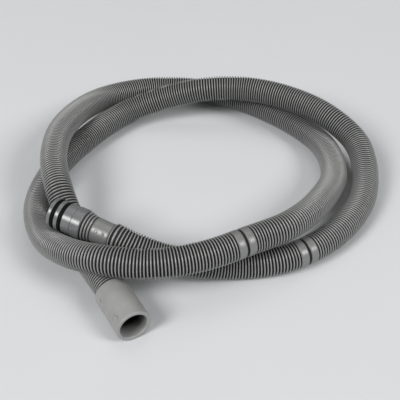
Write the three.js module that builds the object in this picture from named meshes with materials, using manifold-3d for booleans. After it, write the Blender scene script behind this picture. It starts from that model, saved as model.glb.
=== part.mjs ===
// Dishwasher drain hose: a corrugated hose lying in two loose turns, with the plug-in
// connector of the machine end resting on it and the soft drain cuff in front.
// Millimetres, +Z up, the floor at Z = 0, +X to the right and +Y away from the viewer.
import * as THREE from 'three';
import { mergeVertices } from 'three/addons/utils/BufferGeometryUtils.js';
import Module from 'manifold-3d';

const wasm = await Module();
wasm.setup();

// Running clearance between two pieces that touch.
const CLEARANCE = 0.3;

// Hose: outer diameter over the ribs.
const HOSE_OD = 23;
const HOSE_SIDES = 16;
const HOSE_STEPS = 180;

// Moulded machine end of the hose: the tail inside the connector, three ribs that step
// down in diameter, and the plain collar. The diameters follow the hose's own.
const HOSE_TAIL_OD = HOSE_OD - 4.6;
const HOSE_TAIL_LENGTH = 9;
const END_RIB_OD = HOSE_OD + 0.4;
const END_RIB_TAPER = 1.2;
const END_RIB_COUNT = 3;
const END_RIB_WIDTH = 1.5;
const END_RIB_PITCH = 2.35;
const END_GROOVE_OD = HOSE_OD - 4.4;
const END_GROOVE_WIDTH = 0.8;
const COLLAR_OD = HOSE_OD - 3;
const COLLAR_SMALL_OD = HOSE_OD - 3.3;
const COLLAR_LENGTH = 15.4;
const COLLAR_OVERLAP = 2;
const HOSE_LEAD = 5;

// Machine-end connector: stations along its axis, counted from the front face.
const CONNECTOR_OD = HOSE_OD + 0.7;
const CONNECTOR_BAND_OD = HOSE_OD + 1.4;
const CONNECTOR_BORE = HOSE_TAIL_OD - 3;
const CONNECTOR_BORE_CHAMFER = 0.8;
const CONNECTOR_EDGE = 0.5;
const FRONT_RING_WIDTH = 2.8;
const O_RING_SECTION = 2.2;
const O_RING_PROUD = 0.35;
const O_RING_SIDE_ROOM = 0.35;
const LAND_WIDTH = 3.3;
const CYLINDER_LENGTH = 8.4;
const BAND_LENGTH = 8;
const BAND_CHAMFER = 0.7;

// Drain cuff: a soft sleeve with a socket for the hose and a thick rounded mouth.
const CUFF_OD = HOSE_OD + 4;
const CUFF_LENGTH = 38.5;
const CUFF_BORE = HOSE_OD - 2;
const CUFF_SOCKET_DEPTH = 21.5;
const CUFF_BACK_RADIUS = 2.2;
const CUFF_MOUTH_RADIUS = 0.7;
const CUFF_MOUTH_CHAMFER = 0.6;

// Segments round the turned pieces.
const TURNED_SEGMENTS = 48;
const O_RING_SECTION_SIDES = 10;

// The lay below is drawn for a hose of this diameter and grows with the hose, so that
// neighbouring turns keep their clearance.
const LAY_HOSE_OD = 23;
const LAY_SCALE = HOSE_OD / LAY_HOSE_OD;

// The middle of the footprint in the coordinates below; the model is centred on it.
const FOOTPRINT_MIDDLE = new THREE.Vector2(4.1, 20.04).multiplyScalar(LAY_SCALE);

// Where the ends lie: the far end of the collar, the cuff's back rim and their axes.
// The cuff lies on the floor.
const COLLAR_END = new THREE.Vector3(-66, -71.6, 35.55).multiplyScalar(LAY_SCALE);
const CONNECTOR_AXIS = new THREE.Vector3(18, -8.5, -2.45).normalize();
const CUFF_BACK = new THREE.Vector3(-65.1 * LAY_SCALE, -107.4 * LAY_SCALE, CUFF_OD / 2);
const CUFF_AXIS = new THREE.Vector3(11, -20, 0).normalize();

// The hose's centre line from the collar to the cuff, between the two straight ends.
const ROUTE = [
  [-49.7, -77.5, 31], [-26.5, -80.2, 21.8], [18, -78, 12.5],
  [68, -69.5, 12], [110.5, -39.5, 12], [139, 8, 13], [141, 62, 23],
  [117, 93.5, 33], [83, 118, 37], [43, 134, 37.3], [3, 136, 35.2],
  [-36, 135, 25.5], [-71, 126, 15.5], [-102, 93, 12], [-127.5, 43, 12],
  [-135.5, -6.5, 12], [-123, -50, 17], [-100, -81, 29], [-72, -98, 37.3],
  [-36, -103, 38], [2, -95, 38], [39, -77, 38], [68.5, -59.5, 37],
  [95.5, -23.5, 29], [116, 30, 17], [110, 83, 12], [69, 133, 12],
  [14, 167, 12], [-43, 175, 12], [-94.5, 148.5, 17], [-122, 77, 34],
  [-124, 27.5, 37.5], [-114.5, -12, 33.5], [-101.5, -39, 18], [-95, -52, 12.7],
  [-84, -75, 12],
].map(([x, y, z]) => new THREE.Vector3(x, y, z).multiplyScalar(LAY_SCALE));

// Sizes that follow from the ones above.
const connectorRadius = CONNECTOR_OD / 2;
const bandRadius = CONNECTOR_BAND_OD / 2;
const grooveWidth = O_RING_SECTION + 2 * O_RING_SIDE_ROOM;
const oRingOuterRadius = connectorRadius + O_RING_PROUD;
const grooveRadius = oRingOuterRadius - O_RING_SECTION - CLEARANCE;
const firstGroove = FRONT_RING_WIDTH;
const secondGroove = firstGroove + grooveWidth + LAND_WIDTH;
const cylinderStart = secondGroove + grooveWidth;
const bandStart = cylinderStart + CYLINDER_LENGTH;
const connectorLength = bandStart + BAND_LENGTH;
const endRibStart = connectorLength + CLEARANCE + END_GROOVE_WIDTH;
const collarStart = endRibStart + END_RIB_COUNT * END_RIB_PITCH;
const collarEnd = collarStart + COLLAR_LENGTH;
const tailRadius = HOSE_TAIL_OD / 2;
const connectorSocketRadius = tailRadius + CLEARANCE;
const cuffSocketRadius = HOSE_OD / 2 + CLEARANCE;

const UP = new THREE.Vector3(0, 1, 0);

// Closed solid turned about the local Y axis from [radius, station] points.
function turned(points, segments = TURNED_SEGMENTS) {
  const profile = points.map(([radius, station]) => new THREE.Vector2(radius, station));
  return new THREE.LatheGeometry(profile, segments);
}

// Points of a quarter-round corner, from one angle to another in degrees.
function corner(radius, station, size, from, to, steps = 4) {
  const points = [];
  for (let i = 0; i <= steps; i += 1) {
    const angle = THREE.MathUtils.degToRad(from + ((to - from) * i) / steps);
    points.push([radius + size * Math.cos(angle), station + size * Math.sin(angle)]);
  }
  return points;
}

function toManifold(geometry) {
  const bare = geometry.clone();
  bare.deleteAttribute('normal');
  bare.deleteAttribute('uv');
  const merged = mergeVertices(bare, 1e-4);
  return new wasm.Manifold(new wasm.Mesh({
    numProp: 3,
    vertProperties: new Float32Array(merged.attributes.position.array),
    triVerts: new Uint32Array(merged.index.array),
  }));
}

function toGeometry(manifold) {
  const mesh = manifold.getMesh();
  const geometry = new THREE.BufferGeometry();
  geometry.setAttribute('position', new THREE.BufferAttribute(mesh.vertProperties, 3));
  geometry.setIndex(new THREE.BufferAttribute(mesh.triVerts, 1));
  geometry.computeVertexNormals();
  return geometry;
}

// A place on a straight axis, a given distance from its start.
function along(start, axis, distance) {
  return start.clone().addScaledVector(axis, distance);
}

// The connector's front face, reached back along the axis from the end of the collar.
const connectorFront = along(COLLAR_END, CONNECTOR_AXIS, -collarEnd);

function aim(object, start, axis) {
  object.quaternion.setFromUnitVectors(UP, axis);
  object.position.copy(start);
  return object;
}

// Connector body: front ring, two O-ring grooves with a land between them, the plain
// cylinder and the slightly wider band, bored through with a socket for the hose tail.
function connectorGeometry() {
  const bore = CONNECTOR_BORE / 2;
  const socketStart = connectorLength - HOSE_TAIL_LENGTH - CLEARANCE;
  return turned([
    [bore, CONNECTOR_BORE_CHAMFER],
    [bore + CONNECTOR_BORE_CHAMFER, 0],
    [connectorRadius - CONNECTOR_EDGE, 0],
    [connectorRadius, CONNECTOR_EDGE],
    [connectorRadius, firstGroove],
    [grooveRadius, firstGroove],
    [grooveRadius, firstGroove + grooveWidth],
    [connectorRadius, firstGroove + grooveWidth],
    [connectorRadius, secondGroove],
    [grooveRadius, secondGroove],
    [grooveRadius, cylinderStart],
    [connectorRadius, cylinderStart],
    [connectorRadius, bandStart],
    [bandRadius, bandStart],
    [bandRadius, connectorLength - BAND_CHAMFER],
    [bandRadius - BAND_CHAMFER, connectorLength],
    [connectorSocketRadius, connectorLength],
    [connectorSocketRadius, socketStart],
    [bore, socketStart],
    [bore, CONNECTOR_BORE_CHAMFER],
  ]);
}

// O-ring: a round section turned about the axis, centred in its groove.
function oRingGeometry() {
  const half = O_RING_SECTION / 2;
  const points = [];
  for (let i = 0; i <= O_RING_SECTION_SIDES; i += 1) {
    const angle = (2 * Math.PI * i) / O_RING_SECTION_SIDES;
    points.push([oRingOuterRadius - half + half * Math.cos(angle), half * Math.sin(angle)]);
  }
  return turned(points);
}

// Drain cuff: rounded back rim, thick rounded mouth, bore and the stepped hose socket.
function cuffGeometry() {
  const outer = CUFF_OD / 2;
  const bore = CUFF_BORE / 2;
  return turned([
    [cuffSocketRadius, 0],
    ...corner(outer - CUFF_BACK_RADIUS, CUFF_BACK_RADIUS, CUFF_BACK_RADIUS, -90, 0)
      .filter(([radius]) => radius > cuffSocketRadius),
    ...corner(outer - CUFF_MOUTH_RADIUS, CUFF_LENGTH - CUFF_MOUTH_RADIUS, CUFF_MOUTH_RADIUS, 0, 90),
    [bore + CUFF_MOUTH_CHAMFER, CUFF_LENGTH],
    [bore, CUFF_LENGTH - CUFF_MOUTH_CHAMFER],
    [bore, CUFF_SOCKET_DEPTH],
    [cuffSocketRadius, CUFF_SOCKET_DEPTH],
    [cuffSocketRadius, 0],
  ]);
}

// Moulded machine end of the hose: the tail in the connector's socket, the ribs behind
// the connector and the smooth collar, which runs on a little way inside the hose.
function hoseEndGeometry() {
  const groove = END_GROOVE_OD / 2;
  const start = connectorLength + CLEARANCE;
  const points = [
    [0, connectorLength - HOSE_TAIL_LENGTH],
    [tailRadius, connectorLength - HOSE_TAIL_LENGTH],
    [tailRadius, start],
    [groove, start],
    [groove, start + END_GROOVE_WIDTH],
  ];
  for (let i = 0; i < END_RIB_COUNT; i += 1) {
    const radius = (END_RIB_OD - i * END_RIB_TAPER) / 2;
    const station = endRibStart + i * END_RIB_PITCH;
    points.push([radius, station]);
    points.push([radius, station + END_RIB_WIDTH]);
    points.push([groove, station + END_RIB_WIDTH]);
    points.push([groove, station + END_RIB_PITCH]);
  }
  points.push([COLLAR_OD / 2, collarStart]);
  points.push([COLLAR_SMALL_OD / 2, collarEnd]);
  points.push([COLLAR_SMALL_OD / 2, collarEnd + COLLAR_OVERLAP]);
  points.push([0, collarEnd + COLLAR_OVERLAP]);
  return turned(points);
}

// Plain tube of the hose along its centre line, from the collar to inside the cuff.
function hoseTubeGeometry() {
  const hoseLead = along(COLLAR_END, CONNECTOR_AXIS, HOSE_LEAD);
  const hoseEnd = along(CUFF_BACK, CUFF_AXIS, CUFF_SOCKET_DEPTH - CLEARANCE);
  const path = new THREE.CatmullRomCurve3([
    COLLAR_END,
    hoseLead,
    ...ROUTE,
    CUFF_BACK,
    hoseEnd,
  ], false, 'centripetal');
  path.arcLengthDivisions = 2000;
  const section = new THREE.Shape();
  for (let i = 0; i < HOSE_SIDES; i += 1) {
    const angle = (2 * Math.PI * i) / HOSE_SIDES;
    const x = (HOSE_OD / 2) * Math.cos(angle);
    const y = (HOSE_OD / 2) * Math.sin(angle);
    if (i === 0) {
      section.moveTo(x, y);
    } else {
      section.lineTo(x, y);
    }
  }
  section.closePath();
  return new THREE.ExtrudeGeometry(section, { steps: HOSE_STEPS, extrudePath: path });
}

function hoseGeometry() {
  const placed = aim(new THREE.Object3D(), connectorFront, CONNECTOR_AXIS);
  placed.updateMatrix();
  const end = hoseEndGeometry().applyMatrix4(placed.matrix);
  return toGeometry(toManifold(hoseTubeGeometry()).add(toManifold(end)));
}

const hoseGrey = new THREE.MeshStandardMaterial({ color: 0xa3a39f, roughness: 0.45, metalness: 0 });
const connectorGrey = new THREE.MeshStandardMaterial({ color: 0x8f9191, roughness: 0.35, metalness: 0 });
const sealBlack = new THREE.MeshStandardMaterial({ color: 0x101010, roughness: 0.4, metalness: 0 });
const cuffGrey = new THREE.MeshStandardMaterial({ color: 0xa5a39f, roughness: 0.7, metalness: 0 });

function named(name, geometry, material) {
  const mesh = new THREE.Mesh(geometry, material);
  mesh.name = name;
  return mesh;
}

const drainHose = new THREE.Group();
drainHose.position.set(-FOOTPRINT_MIDDLE.x, -FOOTPRINT_MIDDLE.y, 0);

drainHose.add(named('corrugated_hose', hoseGeometry(), hoseGrey));

const machineEnd = aim(new THREE.Group(), connectorFront, CONNECTOR_AXIS);
machineEnd.add(named('machine_connector', connectorGeometry(), connectorGrey));
const frontRing = named('front_o_ring', oRingGeometry(), sealBlack);
frontRing.position.y = firstGroove + grooveWidth / 2;
machineEnd.add(frontRing);
const rearRing = named('rear_o_ring', oRingGeometry(), sealBlack);
rearRing.position.y = secondGroove + grooveWidth / 2;
machineEnd.add(rearRing);
drainHose.add(machineEnd);

const drainEnd = aim(new THREE.Group(), CUFF_BACK, CUFF_AXIS);
drainEnd.add(named('drain_cuff', cuffGeometry(), cuffGrey));
drainHose.add(drainEnd);

export default drainHose;
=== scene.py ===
import math

import bpy
import numpy as np
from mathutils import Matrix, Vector


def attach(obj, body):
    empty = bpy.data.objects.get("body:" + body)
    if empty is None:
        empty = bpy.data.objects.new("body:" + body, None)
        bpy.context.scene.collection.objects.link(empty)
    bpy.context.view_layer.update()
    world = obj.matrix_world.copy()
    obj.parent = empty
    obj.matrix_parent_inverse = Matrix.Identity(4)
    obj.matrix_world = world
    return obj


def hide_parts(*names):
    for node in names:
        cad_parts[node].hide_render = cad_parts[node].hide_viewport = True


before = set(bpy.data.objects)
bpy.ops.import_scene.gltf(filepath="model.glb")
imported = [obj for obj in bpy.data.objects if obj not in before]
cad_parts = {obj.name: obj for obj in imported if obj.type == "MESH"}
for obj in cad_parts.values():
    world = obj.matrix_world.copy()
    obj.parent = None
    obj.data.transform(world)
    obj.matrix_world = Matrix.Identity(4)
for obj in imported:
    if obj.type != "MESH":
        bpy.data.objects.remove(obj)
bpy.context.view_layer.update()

# A dishwasher drain hose that lies in two loose turns, in metres. The hose, its connector
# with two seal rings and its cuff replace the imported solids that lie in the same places.

# Room between pieces, as in the CAD source.
CLEARANCE = 0.0003

# Hose: radius on its ribs, just within the CAD's faceted tube, and between them.
HOSE_R = 0.01138
GROOVE_R = 0.0098
RIB_PITCH = 0.00235
HOSE_SIDES = 22

# Every point of the hose has a painted light value, from 0 between the ribs to 1 on them, which
# its material multiplies into its colour: painted shade in the grooves. Bands, collar and marks
# are a little darker than the ribs, so that the ribs' crests carry a painted sheen.
PLAIN_PAINTED_LIGHT = 0.82

# Section of a rib: (part of the pitch from its middle, radius, painted light).
RIB = [
    (-0.27, GROOVE_R, 0.0), (-0.22, HOSE_R - 0.0006, 0.75), (-0.11, HOSE_R, 1.0),
    (0.11, HOSE_R, 1.0), (0.22, HOSE_R - 0.0006, 0.75), (0.27, GROOVE_R, 0.0),
]

# Pairs of smooth bands along the hose: their stations from the connector's front face,
# counted along the centre line, the width of a band, half the gap between two, and the
# room that a smooth stretch leaves before the next rib's own share of the hose.
BAND_STATIONS = (0.2055, 0.9813)
BAND_WIDTH = 0.0066
BAND_HALF_GAP = 0.0009
RIB_ROOM = 0.18 * RIB_PITCH

# Shoulder of a smooth band: (distance from its edge, depth under its radius, painted light).
SHOULDER = [(0.0001, 0.0007, 0.7), (0.0003, 0.0002, PLAIN_PAINTED_LIGHT), (0.0006, 0.0, PLAIN_PAINTED_LIGHT)]
BAND_STEP = 0.0012

# Machine end of the hose: the tail inside the connector, three ribs that step down in
# radius, with their section as (distance from the middle, depth, painted light) and the floor
# behind each as distances from its middle, and then the tapered collar.
TAIL_R = 0.0092
TAIL_LENGTH = 0.009
TAIL_CHAMFER = 0.0003
TAIL_BACK_EDGE = 0.0002
END_GROOVE = 0.0008
END_GROOVE_FLOOR = 0.0007
END_RIB_COUNT = 3
END_RIB_R = 0.0117
END_RIB_STEP = 0.0006
END_RIB_WIDTH = 0.0015
END_RIB = [
    (-0.0007, 0.0008, 0.75), (-0.0004, 0.0002, 1.0), (0.0, 0.0, 1.0),
    (0.0004, 0.0002, 1.0), (0.0007, 0.0008, 0.75),
]
END_RIB_GAP = (0.0010, 0.0014)
COLLAR_START = 0.03645
COLLAR_END = 0.05185
COLLAR_START_R = 0.0100
COLLAR_END_R = 0.00985

# The hose's bore, which is made only as deep as it can be seen from its two ends.
# The bore's low value paints it nearly black: painted shade.
BORE_PAINTED_SHADE = 0.1
BORE_R = 0.0077
TAIL_BORE_DEPTH = 0.055
TAIL_BORE_STEP = 0.0027
CUFF_END_BORE_R = 0.0086
CUFF_END_BORE_RIB = 0.0013
CUFF_END_BORE_DEPTH = 0.06

# Roundings of moulded edges. None takes more than a share of the line on either side.
FINE_EDGE = 0.0001
GROOVE_EDGE = 0.0002
EDGE = 0.0003
EDGE_SHARE = 0.45

# Connector: stations from its front face. The seal grooves are a little wider and the
# seal rings thicker than in the CAD, as in the photograph.
CONNECTOR_R = 0.01185
CONNECTOR_LENGTH = 0.0283
CONNECTOR_STEPS = 4
NOSE_EDGE = 0.0007
MOUTH_CHAMFER = 0.0008
FRONT_RING = 0.0028
SEAL_GROOVE = 0.0034
SEAL_FLOOR_R = 0.0090
LAND = 0.0031
SEAL_GROOVES = (FRONT_RING, FRONT_RING + SEAL_GROOVE + LAND)
SEAL_R = 0.0014
SEAL_PROUD = 0.00025
SEAL_SIDES = 20
BAND_START = 0.0203
BAND_R = 0.0122
BAND_EDGE = 0.001
STEP_DEPTH = 0.0003
STEP_WIDTH = 0.0003
STEP_SLOPE = 0.0001

# Marks on the collar: a ring and a bar, low reliefs that stand for unreadable ones. Their
# sections are (part of the reach, height over the collar), from the middle outwards. The
# angle is counted from the level direction on the axis's left, over the top.
MARK_R = 0.0099
MARK_SIDES = 36
MARK_ANGLE = math.radians(138)
MARK_HEIGHT = 0.0003
RING_STATION = 0.0412
RING_REACH = 0.0016
RING_SECTION = [
    (0.5, -MARK_HEIGHT), (0.58, MARK_HEIGHT), (0.88, MARK_HEIGHT), (1.0, -MARK_HEIGHT)]
BAR_STATION = 0.0472
BAR_REACH = (0.0013, 0.0016)
BAR_SECTION = [
    (0.02, -MARK_HEIGHT), (0.02, MARK_HEIGHT), (0.8, MARK_HEIGHT), (1.0, -MARK_HEIGHT)]

# Drain cuff: its stations run from its back rim to its mouth.
CUFF_R = 0.0135
CUFF_LENGTH = 0.0385
CUFF_BORE_R = 0.0105
CUFF_SOCKET = 0.0215
CUFF_BACK_EDGE = 0.0022
CUFF_LIP = 0.0015
CUFF_INNER_LIP = 0.0013
CUFF_STEPS = 8

# Segments round the turned pieces.
TURNED_SEGMENTS = 128

# Middle of the footprint in the route's own coordinates.
MIDDLE = np.array([0.0041, 0.02004, 0.0])

# The hose's centre line from the collar to the cuff, repeated from the CAD source.
ROUTE = np.array([
    (-0.0497, -0.0775, 0.031), (-0.0265, -0.0802, 0.0218), (0.018, -0.078, 0.0125),
    (0.068, -0.0695, 0.012), (0.1105, -0.0395, 0.012), (0.139, 0.008, 0.013),
    (0.141, 0.062, 0.023), (0.117, 0.0935, 0.033), (0.083, 0.118, 0.037),
    (0.043, 0.134, 0.0373), (0.003, 0.136, 0.0352), (-0.036, 0.135, 0.0255),
    (-0.071, 0.126, 0.0155), (-0.102, 0.093, 0.012), (-0.1275, 0.043, 0.012),
    (-0.1355, -0.0065, 0.012), (-0.123, -0.050, 0.017), (-0.100, -0.081, 0.029),
    (-0.072, -0.098, 0.0373), (-0.036, -0.103, 0.038), (0.002, -0.095, 0.038),
    (0.039, -0.077, 0.038), (0.0685, -0.0595, 0.037), (0.0955, -0.0235, 0.029),
    (0.116, 0.030, 0.017), (0.110, 0.083, 0.012), (0.069, 0.133, 0.012),
    (0.014, 0.167, 0.012), (-0.043, 0.175, 0.012), (-0.0945, 0.1485, 0.017),
    (-0.122, 0.077, 0.034), (-0.124, 0.0275, 0.0375), (-0.1145, -0.012, 0.0335),
    (-0.1015, -0.039, 0.018), (-0.095, -0.052, 0.0127), (-0.084, -0.075, 0.012),
]) - MIDDLE

# Straight lead of the hose behind the collar.
HOSE_LEAD = 0.005

# Samples of the centre line between two points of the route, and along the tail.
SPAN_STEPS = 40
TAIL_STEPS = 11


def unit(vector):
    return np.array(vector) / np.linalg.norm(vector)


# The straight ends that the centre line joins.
CONNECTOR_AXIS = unit([18, -8.5, -2.45])
CONNECTOR_FRONT = np.array([-0.066, -0.0716, 0.03555]) - MIDDLE - CONNECTOR_AXIS * COLLAR_END
CUFF_AXIS = unit([11, -20, 0])
CUFF_BACK = np.array([-0.0651, -0.1074, CUFF_R]) - MIDDLE

# Camera: place, aim and lens as fitted to the photograph.
CAMERA_PLACE = Vector((-0.0041, -0.54094, 0.4491))
CAMERA_AIM = Vector((-0.0041, -0.02004, 0.012))
CAMERA_LENS = 72.7
CAMERA_SENSOR = 36

# Floor: half its side. Lamps: place, side and watts, all aimed at the middle.
FLOOR_REACH = 20
LAMPS = {
    "right": ((3.36, -2.0, 3.24), 1.9, 122.0),
    "left": ((-2.76, -2.64, 3.28), 1.9, 165.0),
    "top": ((0.4, 1.8, 5.0), 3.4, 34.0),
}
WORLD_STRENGTH = 0.22


def show(name, data):
    made = bpy.data.objects.new(name, data)
    bpy.context.scene.collection.objects.link(made)
    return made


def facing(place, aim):
    """Rotation of a camera or lamp at one place that looks at another."""
    return (aim - place).to_track_quat("-Z", "Y").to_euler()


# Camera

camera = show("camera", bpy.data.cameras.new("camera"))
camera.data.lens = CAMERA_LENS
camera.data.sensor_width = CAMERA_SENSOR
camera.location = CAMERA_PLACE
camera.rotation_euler = facing(CAMERA_PLACE, CAMERA_AIM)
bpy.context.scene.camera = camera


# Centre line of the hose

def catmull(points):
    """Centripetal Catmull-Rom curve through the points, as samples."""
    before = 2 * points[0] - points[1]
    after = 2 * points[-1] - points[-2]
    p = np.vstack([before, points, after])
    samples = []
    for p0, p1, p2, p3 in zip(p, p[1:], p[2:], p[3:]):
        d0 = np.linalg.norm(p1 - p0) ** 0.5
        d1 = np.linalg.norm(p2 - p1) ** 0.5
        d2 = np.linalg.norm(p3 - p2) ** 0.5
        slope1 = ((p1 - p0) / d0 - (p2 - p0) / (d0 + d1) + (p2 - p1) / d1) * d1
        slope2 = ((p2 - p1) / d1 - (p3 - p1) / (d1 + d2) + (p3 - p2) / d2) * d1
        for t in np.linspace(0, 1, SPAN_STEPS, endpoint=False):
            samples.append(p1 + slope1 * t
                           + (3 * p2 - 3 * p1 - 2 * slope1 - slope2) * t ** 2
                           + (2 * p1 - 2 * p2 + slope1 + slope2) * t ** 3)
    return np.array(samples + [points[-1]])


def on_connector(station):
    return CONNECTOR_FRONT + CONNECTOR_AXIS * station


def turned_frames(line, lengths):
    """Two directions square to the line at each sample, which turn without twisting."""
    tangents = np.gradient(line, lengths, axis=0)
    tangents /= np.linalg.norm(tangents, axis=1)[:, None]
    across = np.zeros_like(line)
    across[0] = unit(np.cross(tangents[0], [0, 0, 1]))
    for i in range(1, len(line)):
        before = across[i - 1]
        across[i] = unit(before - tangents[i] * np.dot(tangents[i], before))
    return across, np.cross(tangents, across)


TAIL_START = CONNECTOR_LENGTH - TAIL_LENGTH
line = np.vstack([
    [on_connector(s) for s in np.linspace(TAIL_START, COLLAR_START, TAIL_STEPS, endpoint=False)],
    catmull(np.vstack([
        on_connector(COLLAR_START), on_connector(COLLAR_END), on_connector(COLLAR_END + HOSE_LEAD),
        ROUTE, CUFF_BACK, CUFF_BACK + CUFF_AXIS * (CUFF_SOCKET - CLEARANCE)])),
])
lengths = np.concatenate([[0], np.cumsum(np.linalg.norm(np.diff(line, axis=0), axis=1))])
line_across, line_above = turned_frames(line, lengths)
HOSE_LENGTH = float(lengths[-1])


def from_tail(station):
    """Distance from the hose's tail of a station counted from the connector's front."""
    return station - TAIL_START


def on_hose(s):
    """Centres and the two directions square to the hose at distances s from its tail."""
    centre, across, above = (
        np.stack([np.interp(s, lengths, values[:, k]) for k in range(3)], axis=1)
        for values in (line, line_across, line_above))
    across /= np.linalg.norm(across, axis=1)[:, None]
    above /= np.linalg.norm(above, axis=1)[:, None]
    return centre, across, above


# Meshes

def ring_points(centre, across, above, radius, sides):
    """Points of a ring for each centre and radius, one row a ring."""
    angle = 2 * np.pi * np.arange(sides) / sides
    spokes = (np.cos(angle)[None, :, None] * across[:, None, :]
              + np.sin(angle)[None, :, None] * above[:, None, :])
    return centre[:, None, :] + radius[:, None, None] * spokes


def ring_faces(count, sides, closed):
    """Quads between rings of points; closed joins the last ring to the first."""
    faces = []
    for i in range(count if closed else count - 1):
        here, there = i * sides, (i + 1) % count * sides
        for q in range(sides):
            k = (q + 1) % sides
            faces.append([here + q, here + k, there + k, there + q])
    return faces


def smooth_mesh(name, points, faces):
    mesh = bpy.data.meshes.new(name)
    mesh.from_pydata(points.reshape(-1, 3).tolist(), [], faces)
    mesh.validate()
    mesh.shade_smooth()
    return mesh


def store(mesh, name, values):
    """Give each point of a mesh a value that its material can read."""
    data = mesh.attributes.new(name, "FLOAT", "POINT").data
    data.foreach_set("value", np.asarray(values, dtype=np.float32))


def add_piece(mesh):
    piece = show(mesh.name, mesh)
    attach(piece, "root")
    return piece


# Hose, as rings of (distance from the tail, radius, painted light)

def corrugation(start, end):
    """Rings of whole ribs that fill the hose between two distances."""
    count = round((end - start) / RIB_PITCH)
    pitch = (end - start) / count
    return [(start + (i + 0.5 + part) * pitch, radius, painted_light)
            for i in range(count) for part, radius, painted_light in RIB]


def smooth_band(start, end, start_r, end_r):
    """Rings of a plain band with rounded shoulders, from one groove to the next."""
    edge = SHOULDER[-1][0]
    rings = [(start, GROOVE_R, 0.0)]
    rings += [(start + inwards, start_r - depth, painted_light) for inwards, depth, painted_light in SHOULDER]
    for s in np.arange(start + edge + BAND_STEP, end - edge - BAND_STEP / 2, BAND_STEP):
        part = (s - start) / (end - start)
        rings.append((s, start_r + (end_r - start_r) * part, PLAIN_PAINTED_LIGHT))
    rings += [(end - inwards, end_r - depth, painted_light) for inwards, depth, painted_light in SHOULDER[::-1]]
    rings.append((end, GROOVE_R, 0.0))
    return rings


def band_pair(middle):
    before, after = middle - BAND_HALF_GAP, middle + BAND_HALF_GAP
    return (smooth_band(before - BAND_WIDTH, before, HOSE_R, HOSE_R)
            + smooth_band(after, after + BAND_WIDTH, HOSE_R, HOSE_R))


def machine_end():
    """Rings of the tail, the ribs behind the connector and the collar."""
    behind = from_tail(CONNECTOR_LENGTH + CLEARANCE)
    rings = [
        (0.0, TAIL_R - TAIL_CHAMFER, 1.0), (TAIL_CHAMFER, TAIL_R, 1.0),
        (behind - TAIL_BACK_EDGE, TAIL_R, 1.0),
        (behind, GROOVE_R, 0.0), (behind + END_GROOVE_FLOOR, GROOVE_R, 0.0),
    ]
    for i in range(END_RIB_COUNT):
        middle = behind + END_GROOVE + i * RIB_PITCH + END_RIB_WIDTH / 2
        radius = END_RIB_R - i * END_RIB_STEP
        rings += [(middle + offset, radius - depth, painted_light) for offset, depth, painted_light in END_RIB]
        rings += [(middle + offset, GROOVE_R, 0.0) for offset in END_RIB_GAP]
    # The collar brings the groove floor that it starts from.
    rings.pop()
    return rings + smooth_band(
        from_tail(COLLAR_START), from_tail(COLLAR_END), COLLAR_START_R, COLLAR_END_R)


def ribbed_length():
    """Rings from the collar to the cuff, with the two pairs of bands."""
    reach = BAND_HALF_GAP + BAND_WIDTH + RIB_ROOM
    start = from_tail(COLLAR_END) + RIB_ROOM
    rings = []
    for station in BAND_STATIONS:
        middle = from_tail(station)
        rings += corrugation(start, middle - reach) + band_pair(middle)
        start = middle + reach
    return rings + corrugation(start, HOSE_LENGTH)


def bore(start, end, step, radius, rib=0.0):
    """Rings of a bore from end back to start, with every second one wider by a rib."""
    rings = [(s, radius + (rib if i % 2 else 0.0), BORE_PAINTED_SHADE)
             for i, s in enumerate(np.arange(start, end, step))]
    return rings[::-1]


def hose_mesh():
    """Closed skin of the hose, with a cap deep inside the bore at both ends."""
    rings = (bore(0.0, TAIL_BORE_DEPTH, TAIL_BORE_STEP, BORE_R)
             + machine_end() + ribbed_length()
             + bore(HOSE_LENGTH - CUFF_END_BORE_DEPTH, HOSE_LENGTH, RIB_PITCH / 2,
                    CUFF_END_BORE_R, CUFF_END_BORE_RIB))
    s, radius, painted_light = np.array(rings).T
    centre, across, above = on_hose(s)
    points = ring_points(centre, across, above, radius, HOSE_SIDES).reshape(-1, 3)
    faces = ring_faces(len(rings), HOSE_SIDES, closed=False)
    last = len(points) - HOSE_SIDES
    for q in range(HOSE_SIDES):
        k = (q + 1) % HOSE_SIDES
        faces.append([len(points), k, q])
        faces.append([len(points) + 1, last + q, last + k])
    mesh = smooth_mesh("hose", np.vstack([points, centre[0], centre[-1]]), faces)
    # The bore and the two caps take low values, so they are painted dark: painted shade.
    store(mesh, "painted_light", np.append(np.repeat(painted_light, HOSE_SIDES), [0, 0]))
    return mesh


hose = add_piece(hose_mesh())
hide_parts("corrugated_hose")


# Turned pieces, from closed profiles of (radius, station)

def square_to(axis):
    """Two directions square to an axis: the first is level, the second points up."""
    across = unit(np.cross([0, 0, 1], axis))
    return across, np.cross(axis, across)


def rounded(corners, steps):
    """Profile whose corners (radius, station, rounding) are rounded off."""
    profile = []
    for i, (radius, station, size) in enumerate(corners):
        corner = Vector((radius, station))
        before = Vector(corners[i - 1][:2]) - corner
        after = Vector(corners[(i + 1) % len(corners)][:2]) - corner
        size = min(size, before.length * EDGE_SHARE, after.length * EDGE_SHARE)
        a = corner + before.normalized() * size
        b = corner + after.normalized() * size
        for k in range(steps + 1):
            t = k / steps
            profile.append(a * (1 - t) ** 2 + corner * (2 * t * (1 - t)) + b * t ** 2)
    return [(point.x, point.y) for point in profile]


def turned_mesh(name, profile, origin, axis):
    radius, station = np.array(profile).T
    across, above = square_to(axis)
    points = ring_points(origin + station[:, None] * axis, across[None, :], above[None, :],
                         radius, TURNED_SEGMENTS)
    return smooth_mesh(name, points, ring_faces(len(profile), TURNED_SEGMENTS, closed=True))


def weighted(piece):
    """Let a piece's flat faces stay flat between its rounded edges."""
    piece.modifiers.new("normals", "WEIGHTED_NORMAL")
    return piece


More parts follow.
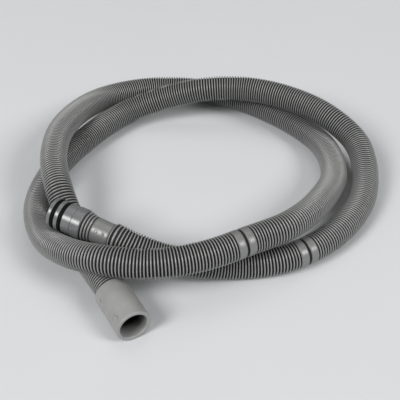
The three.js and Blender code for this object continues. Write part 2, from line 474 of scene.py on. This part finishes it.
def connector_profile():
    corners = [(BORE_R + MOUTH_CHAMFER, 0, EDGE), (CONNECTOR_R, 0, NOSE_EDGE)]
    for start in SEAL_GROOVES:
        end = start + SEAL_GROOVE
        corners += [
            (CONNECTOR_R, start, EDGE), (SEAL_FLOOR_R, start, GROOVE_EDGE),
            (SEAL_FLOOR_R, end, GROOVE_EDGE), (CONNECTOR_R, end, EDGE),
        ]
    step_r = CONNECTOR_R - STEP_DEPTH
    socket_r = TAIL_R + CLEARANCE
    socket_end = TAIL_START - CLEARANCE
    corners += [
        (CONNECTOR_R, BAND_START - STEP_WIDTH - STEP_SLOPE, FINE_EDGE),
        (step_r, BAND_START - STEP_WIDTH, FINE_EDGE), (step_r, BAND_START, FINE_EDGE),
        (BAND_R, BAND_START + STEP_SLOPE, EDGE), (BAND_R, CONNECTOR_LENGTH, BAND_EDGE),
        (socket_r, CONNECTOR_LENGTH, GROOVE_EDGE), (socket_r, socket_end, FINE_EDGE),
        (BORE_R, socket_end, FINE_EDGE), (BORE_R, MOUTH_CHAMFER, EDGE),
    ]
    return rounded(corners, CONNECTOR_STEPS)


connector = weighted(add_piece(
    turned_mesh("connector", connector_profile(), CONNECTOR_FRONT, CONNECTOR_AXIS)))
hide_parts("machine_connector")


def seal_profile(station):
    middle = CONNECTOR_R + SEAL_PROUD - SEAL_R
    return [(middle + SEAL_R * math.cos(a), station + SEAL_R * math.sin(a))
            for a in np.linspace(0, 2 * math.pi, SEAL_SIDES, endpoint=False)]


seals = []
for place, groove in zip(("front", "rear"), SEAL_GROOVES):
    seal = add_piece(turned_mesh("seal_" + place, seal_profile(groove + SEAL_GROOVE / 2),
                                 CONNECTOR_FRONT, CONNECTOR_AXIS))
    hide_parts(place + "_o_ring")
    seals.append(seal)


# Marks on the collar

def relief(name, section, reach, station):
    """Closed low relief that reaches a given distance from its middle in each direction."""
    across, above = square_to(CONNECTOR_AXIS)
    turn = 2 * np.pi * np.arange(MARK_SIDES) / MARK_SIDES
    rows = []
    for part, height in section:
        s = station + part * reach(turn) * np.cos(turn)
        a = MARK_ANGLE + part * reach(turn) * np.sin(turn) / MARK_R
        outwards = np.cos(a)[:, None] * across + np.sin(a)[:, None] * above
        rows.append(on_connector(s[:, None]) + (MARK_R + height) * outwards)
    mesh = smooth_mesh(name, np.vstack(rows), ring_faces(len(section), MARK_SIDES, closed=True))
    store(mesh, "painted_light", np.full(len(mesh.vertices), PLAIN_PAINTED_LIGHT))
    return add_piece(mesh)


def round_reach(turn):
    return np.full_like(turn, RING_REACH)


def bar_reach(turn):
    """Reach of a rectangle with rounded corners."""
    half_length, half_width = BAR_REACH
    return (np.abs(np.cos(turn) / half_length) ** 4
            + np.abs(np.sin(turn) / half_width) ** 4) ** -0.25


marks = [
    relief("collar_ring", RING_SECTION, round_reach, RING_STATION),
    relief("collar_bar", BAR_SECTION, bar_reach, BAR_STATION),
]


# Drain cuff

def cuff_profile():
    socket_r = HOSE_R + CLEARANCE
    return rounded([
        (socket_r, 0, EDGE), (CUFF_R, 0, CUFF_BACK_EDGE), (CUFF_R, CUFF_LENGTH, CUFF_LIP),
        (CUFF_BORE_R, CUFF_LENGTH, CUFF_INNER_LIP), (CUFF_BORE_R, CUFF_SOCKET, GROOVE_EDGE),
        (socket_r, CUFF_SOCKET, FINE_EDGE),
    ], CUFF_STEPS)


# Depth into the cuff's bore, which its material turns into painted shade.
def depth_inside(radius, station):
    """From 0 outside the cuff and at its mouth to 1 at the bottom of its bore."""
    if radius > CUFF_BORE_R + FINE_EDGE:
        return 0.0
    return min(1.0, (CUFF_LENGTH - station) / (CUFF_LENGTH - CUFF_SOCKET))


def cuff_mesh():
    profile = cuff_profile()
    mesh = turned_mesh("cuff", profile, CUFF_BACK, CUFF_AXIS)
    depths = [depth_inside(radius, station) for radius, station in profile]
    store(mesh, "inside", np.repeat(depths, TURNED_SEGMENTS))
    return mesh


cuff = weighted(add_piece(cuff_mesh()))
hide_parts("drain_cuff")


# Materials

GRAIN_SCALE = 1400.0
GRAIN_LIFT = 0.00002
SCUFF = (0.15, 0.145, 0.14, 1)


def node(tree, kind, **inputs):
    made = tree.nodes.new(kind)
    for key, value in inputs.items():
        made.inputs[key.replace("_", " ")].default_value = value
    return made


def grey(level):
    return (level, level, level)


def attribute(tree, name):
    made = tree.nodes.new("ShaderNodeAttribute")
    made.attribute_name = name
    return made.outputs["Fac"]


def ramp(tree, source, low, high, at_low=0.3, at_high=0.7):
    """Colour that goes from low to high while the source goes from at_low to at_high."""
    made = tree.nodes.new("ShaderNodeValToRGB")
    for stop, colour, place in zip(made.color_ramp.elements, (low, high), (at_low, at_high)):
        stop.color = (*colour, 1)
        stop.position = place
    tree.links.new(source, made.inputs["Fac"])
    return made.outputs["Color"]


def calculated(tree, operation, first, second):
    made = tree.nodes.new("ShaderNodeMath")
    made.operation = operation
    tree.links.new(first, made.inputs[0])
    tree.links.new(second, made.inputs[1])
    return made.outputs["Value"]


def recolour(tree, kind):
    """Put a blend between the shader and its colour, and give the blend's own inputs."""
    base = tree.nodes["Principled BSDF"].inputs["Base Color"]
    made = tree.nodes.new("ShaderNodeMix")
    made.data_type = "RGBA"
    made.blend_type = kind
    made.inputs["Factor"].default_value = 1.0
    tree.links.new(base.links[0].from_socket, made.inputs["A"])
    tree.links.new(made.outputs["Result"], base)
    return made.inputs


def moulded(name, low, high, roughness, mottle_scale, lift=GRAIN_LIFT, shine=0.5):
    """Moulded plastic or rubber: mottled colour, uneven gloss and a fine surface grain."""
    made = bpy.data.materials.new(name)
    made.use_nodes = True
    tree = made.node_tree
    shader = tree.nodes["Principled BSDF"]
    shader.inputs["Specular IOR Level"].default_value = shine
    place = tree.nodes.new("ShaderNodeTexCoord").outputs["Object"]
    mottle = node(tree, "ShaderNodeTexNoise", Scale=mottle_scale, Detail=5.0, Roughness=0.6)
    grain = node(tree, "ShaderNodeTexNoise", Scale=GRAIN_SCALE, Detail=3.0, Roughness=0.6)
    tree.links.new(place, mottle.inputs["Vector"])
    tree.links.new(place, grain.inputs["Vector"])
    tree.links.new(ramp(tree, mottle.outputs["Fac"], low, high), shader.inputs["Base Color"])
    gloss = node(tree, "ShaderNodeMapRange", To_Min=roughness - 0.06, To_Max=roughness + 0.08)
    tree.links.new(mottle.outputs["Fac"], gloss.inputs["Value"])
    tree.links.new(gloss.outputs["Result"], shader.inputs["Roughness"])
    bump = node(tree, "ShaderNodeBump", Strength=0.5, Distance=lift)
    tree.links.new(grain.outputs["Fac"], bump.inputs["Height"])
    tree.links.new(bump.outputs["Normal"], shader.inputs["Normal"])
    return made


def connector_plastic():
    return moulded("connector_plastic", (0.135, 0.14, 0.142), (0.165, 0.17, 0.172),
                   roughness=0.28, mottle_scale=120.0, shine=0.75)


def seal_rubber():
    return moulded("seal_rubber", grey(0.0015), grey(0.004),
                   roughness=0.5, mottle_scale=300.0, lift=0.00003, shine=0.12)


def cuff_rubber():
    """Warm grey rubber with a few short scuffs, and painted shade in its bore that darkens with
    its depth.
    """
    made = moulded("cuff_rubber", (0.285, 0.283, 0.278), (0.33, 0.328, 0.323),
                   roughness=0.42, mottle_scale=90.0, lift=0.00004)
    tree = made.node_tree
    place = tree.nodes["Texture Coordinate"].outputs["Object"]
    cells = node(tree, "ShaderNodeTexVoronoi", Scale=130.0)
    cells.feature = "DISTANCE_TO_EDGE"
    patches = node(tree, "ShaderNodeTexNoise", Scale=85.0, Detail=1.0)
    tree.links.new(place, cells.inputs["Vector"])
    tree.links.new(place, patches.inputs["Vector"])
    thin = ramp(tree, cells.outputs["Distance"], grey(1), grey(0), 0.015, 0.035)
    sparse = ramp(tree, patches.outputs["Fac"], grey(0), grey(1), 0.62, 0.66)
    scuffed = recolour(tree, "MIX")
    scuffed["B"].default_value = SCUFF
    tree.links.new(calculated(tree, "MULTIPLY", thin, sparse), scuffed["Factor"])
    # Painted shade: the bore's colour is multiplied darker towards its bottom.
    shade = ramp(tree, attribute(tree, "inside"), grey(1), grey(0.03), 0.08, 0.8)
    tree.links.new(shade, recolour(tree, "MULTIPLY")["B"])
    return made


def hose_plastic():
    """Semi-gloss grey plastic with painted shade in the grooves between the ribs, where it is also
    dull.
    """
    made = moulded("hose_plastic", (0.232, 0.235, 0.229), (0.265, 0.268, 0.262),
                   roughness=0.37, mottle_scale=60.0, shine=1.0)
    tree = made.node_tree
    painted_light = attribute(tree, "painted_light")
    # Painted shade and sheen: the colour falls to nearly black in the grooves, the bore and the
    # caps, part way on the flanks and a little on the plain parts, which leaves the crests
    # lightest.
    depth = ramp(tree, painted_light, grey(0.01), grey(1), 0.5, 0.95)
    tree.links.new(depth, recolour(tree, "MULTIPLY")["B"])
    dirt = node(tree, "ShaderNodeMapRange", From_Max=0.75, To_Min=0.55, To_Max=0.0)
    tree.links.new(painted_light, dirt.inputs["Value"])
    roughness = tree.nodes["Principled BSDF"].inputs["Roughness"]
    gloss = roughness.links[0].from_socket
    tree.links.new(calculated(tree, "ADD", gloss, dirt.outputs["Result"]), roughness)
    return made


def floor_paper():
    return moulded("floor_paper", (0.66, 0.67, 0.68), (0.68, 0.69, 0.70),
                   roughness=0.8, mottle_scale=3.0, shine=0.2)


for pieces, finish in (([connector], connector_plastic()), (seals, seal_rubber()),
                       ([cuff], cuff_rubber()), ([hose, *marks], hose_plastic())):
    for piece in pieces:
        piece.data.materials.append(finish)


# Floor and light

floor_mesh = bpy.data.meshes.new("floor")
floor_mesh.from_pydata([(x * FLOOR_REACH, y * FLOOR_REACH, 0)
                        for x, y in ((-1, -1), (1, -1), (1, 1), (-1, 1))], [], [(0, 1, 2, 3)])
floor_mesh.materials.append(floor_paper())
show("floor", floor_mesh)

for name, (place, side, watts) in LAMPS.items():
    lamp = show(name, bpy.data.lights.new(name, "AREA"))
    lamp.data.shape = "SQUARE"
    lamp.data.size = side
    lamp.data.energy = watts
    lamp.location = place
    lamp.rotation_euler = facing(Vector(place), Vector((0, 0, 0)))

world = bpy.data.worlds.new("world")
bpy.context.scene.world = world
world.use_nodes = True
world.node_tree.nodes["Background"].inputs["Color"].default_value = (1, 1, 1, 1)
world.node_tree.nodes["Background"].inputs["Strength"].default_value = WORLD_STRENGTH
bpy.context.scene.view_settings.view_transform = "Standard"
